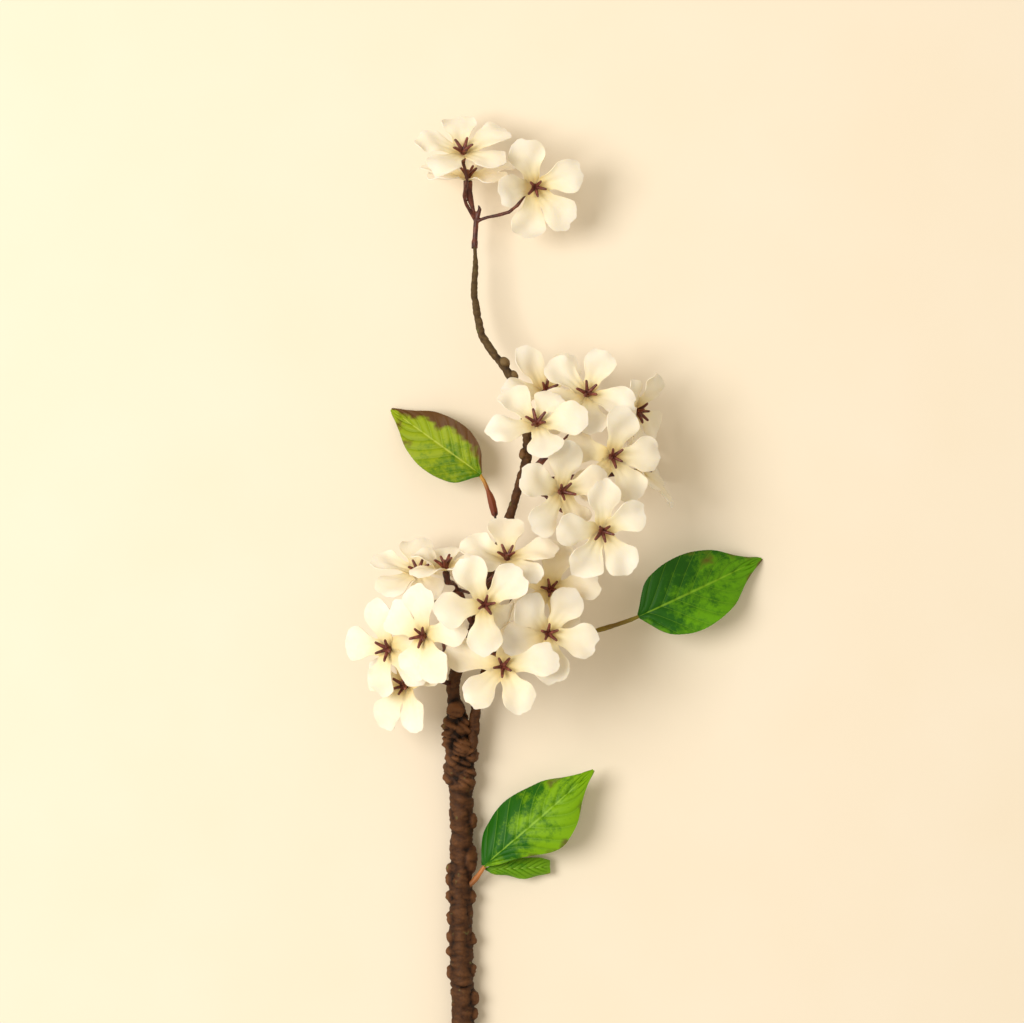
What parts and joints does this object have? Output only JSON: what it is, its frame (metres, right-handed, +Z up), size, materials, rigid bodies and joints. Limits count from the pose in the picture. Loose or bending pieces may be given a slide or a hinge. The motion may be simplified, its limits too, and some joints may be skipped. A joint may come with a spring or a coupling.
{
  "type": "artificial pear blossom branch",
  "caption": "Artificial pear blossom branch lying flat: brown bark-covered stem, clusters of cream five-petal fabric blossoms with dark stamens, and green leaves.",
  "frame": {"origin": "middle of the bounding box at the table the branch lies on", "axes": "+Z up from the table, +Y along the branch from the cut end to the top blossoms, +X to its right seen from above"},
  "size_m": [0.1746, 0.4408, 0.0762],
  "materials": {
    "bark": "dipped, rough, wrinkled like bark",
    "wire": "cut plain at the end",
    "sprig": "moulded, slightly soft sheen",
    "petal": "stiffened cloth, embossed veins",
    "stamen": "moulded",
    "leaf": "printed and embossed, faint sheen",
    "leaf_stalk": "moulded"
  },
  "bodies": {
    "root": {"main_stem": "bark", "side_twig": "bark", "stem_wire": "wire", "sprig_top": "sprig", "sprig_mid_a": "sprig", "sprig_mid_b": "sprig", "sprig_mid_c": "sprig", "sprig_low_a": "sprig", "sprig_low_b": "sprig", "sprig_low_c": "sprig", "sprig_low_d": "sprig", "petals_top_1": "petal", "star_top_1": "stamen", "petals_top_2": "petal", "star_top_2": "stamen", "petals_top_3": "petal", "star_top_3": "stamen", "petals_mid_1": "petal", "star_mid_1": "stamen", "petals_mid_2": "petal", "star_mid_2": "stamen", "petals_mid_3": "petal", "star_mid_3": "stamen", "petals_mid_4": "petal", "star_mid_4": "stamen", "petals_mid_5": "petal", "star_mid_5": "stamen", "petals_mid_6": "petal", "star_mid_6": "stamen", "petals_mid_7": "petal", "star_mid_7": "stamen", "petals_mid_8": "petal", "star_mid_8": "stamen", "petals_low_1": "petal", "star_low_1": "stamen", "petals_low_2": "petal", "star_low_2": "stamen", "petals_low_3": "petal", "star_low_3": "stamen", "petals_low_4": "petal", "star_low_4": "stamen", "petals_low_5": "petal", "star_low_5": "stamen", "petals_low_6": "petal", "star_low_6": "stamen", "petals_low_7": "petal", "star_low_7": "stamen", "petals_low_8": "petal", "star_low_8": "stamen", "petals_low_9": "petal", "star_low_9": "stamen", "petals_low_10": "petal", "star_low_10": "stamen", "leaf_left": "leaf", "leaf_right": "leaf", "leaf_low": "leaf", "leaf_small": "leaf", "leaf_stalk_left": "leaf_stalk", "leaf_stalk_right": "leaf_stalk", "leaf_stalk_low": "leaf_stalk"}
  },
  "joints": []
}
